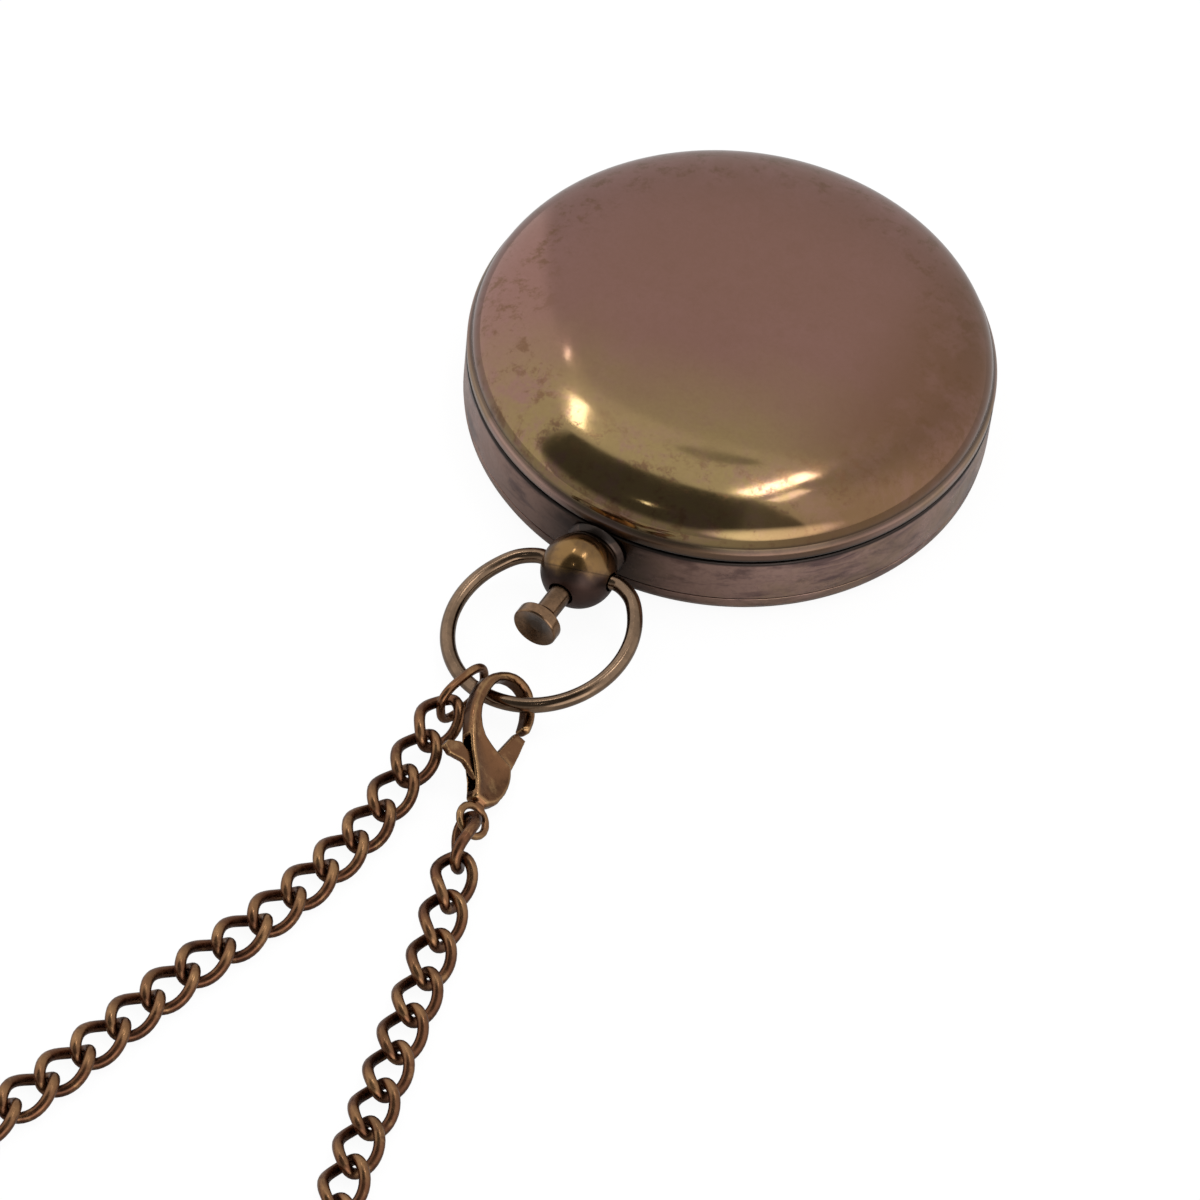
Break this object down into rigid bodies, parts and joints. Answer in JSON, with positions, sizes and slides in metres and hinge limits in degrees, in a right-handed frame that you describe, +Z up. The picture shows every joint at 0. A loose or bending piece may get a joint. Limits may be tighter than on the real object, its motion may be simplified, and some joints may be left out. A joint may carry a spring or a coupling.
{
  "type": "pocket sundial compass",
  "caption": "Round pocket compass with a domed push-button lid over a folding sundial, a ball pendant, a bow ring and a curb chain with a lobster clasp.",
  "frame": {"origin": "centre of the flat back, on the surface that the case lies on", "axes": "+Z up out of the lid, -Y from the case towards the pendant and chain, +Y towards the lid hinge"},
  "size_m": [0.0521, 0.1811, 0.0141],
  "materials": {
    "case_patina": "satin mauve-brown patina",
    "lid_patina": "glossy red-brown patina",
    "brass": "glossy aged brass",
    "bow_brass": "satin aged brass",
    "clasp_copper": "satin coppery brass",
    "chain_brown": "dark antiqued brass",
    "spring_steel": "bright",
    "blued_steel": "blued",
    "dial_card": "matt printed plate",
    "clear_glass": "clear"
  },
  "bodies": {
    "case": {"case_back": "case_patina", "case_body": "case_patina", "compass_dial": "dial_card", "pivot_post": "brass", "spacer_ring": "brass", "glass": "clear_glass", "hour_ring": "brass", "gnomon_pin_south": "brass", "gnomon_pin_north": "brass", "case_hinge_leaf": "case_patina", "hinge_pin": "brass", "catch_spring": "spring_steel", "lid_spring": "spring_steel", "pendant_ball": "brass", "pendant_collar": "brass", "button_spring": "spring_steel"},
    "lid": {"lid": "lid_patina", "lid_hinge_leaf": "lid_patina"},
    "gnomon": {"gnomon": "brass"},
    "button": {"push_button": "bow_brass"},
    "needle": {"needle": "blued_steel", "needle_cap": "brass"},
    "bow": {"bow_ring": "bow_brass"},
    "chain": {"clasp_body": "clasp_copper", "clasp_pin": "clasp_copper", "clasp_spring": "spring_steel", "jump_ring": "clasp_copper", "chain_link_01": "chain_brown", "chain_link_02": "chain_brown", "chain_link_03": "chain_brown", "chain_link_04": "chain_brown", "chain_link_05": "chain_brown", "chain_link_06": "chain_brown", "chain_link_07": "chain_brown", "chain_link_08": "chain_brown", "chain_link_09": "chain_brown", "chain_link_10": "chain_brown", "chain_link_11": "chain_brown", "chain_link_12": "chain_brown", "chain_link_13": "chain_brown", "chain_link_14": "chain_brown", "chain_link_15": "chain_brown", "chain_link_16": "chain_brown", "chain_link_17": "chain_brown", "chain_link_18": "chain_brown", "chain_link_19": "chain_brown", "chain_link_20": "chain_brown", "chain_link_21": "chain_brown", "chain_link_22": "chain_brown", "chain_link_23": "chain_brown", "chain_link_24": "chain_brown", "chain_link_25": "chain_brown", "chain_link_26": "chain_brown", "chain_loop": "chain_brown"},
    "lever": {"clasp_lever": "clasp_copper"}
  },
  "joints": [
    {"name": "lid_hinge", "type": "hinge", "parent": "case", "child": "lid", "pos_m": [0, 0.0254, 0.0061], "axis": [-1, 0, 0], "range_deg": [0, 105], "deforming": ["catch_spring", "lid_spring"]},
    {"name": "gnomon_fold", "type": "hinge", "parent": "case", "child": "gnomon", "pos_m": [0, 0, 0.0075], "axis": [0, -1, 0], "range_deg": [0, 90]},
    {"name": "button_press", "type": "slide", "parent": "case", "child": "button", "axis": [0, 1, 0], "range_m": [0, 0.0012], "stiffness_N_per_m": 500, "springref_m": -0.002, "deforming": ["button_spring", "catch_spring"]},
    {"name": "needle_spin", "type": "hinge", "parent": "case", "child": "needle", "pos_m": [0, 0, 0.0034], "axis": [0, 0, 1], "continuous": true},
    {"name": "bow_swing", "type": "hinge", "parent": "case", "child": "bow", "pos_m": [0, -0.0283, 0.0048], "axis": [-0.9863, 0, -0.165], "range_deg": [0, 115]},
    {"name": "chain_swing", "type": "hinge", "parent": "bow", "child": "chain", "pos_m": [0.00157, -0.04369, 0.00281], "axis": [-0.9863, 0, -0.165], "range_deg": [-115, 0]},
    {"name": "clasp_lever_turn", "type": "hinge", "parent": "chain", "child": "lever", "pos_m": [0.00485, -0.05136, 0.00171], "axis": [0.6007, 0.156, 0.7841], "range_deg": [0, 22], "stiffness_Nm_per_rad": 0.004, "springref_deg": -17.19, "deforming": ["clasp_spring"]}
  ],
  "couplings": [
    {"joint": "gnomon_fold", "follows": "lid_hinge", "ratio": 0.857},
    {"joint": "chain_swing", "follows": "bow_swing", "ratio": -1}
  ]
}
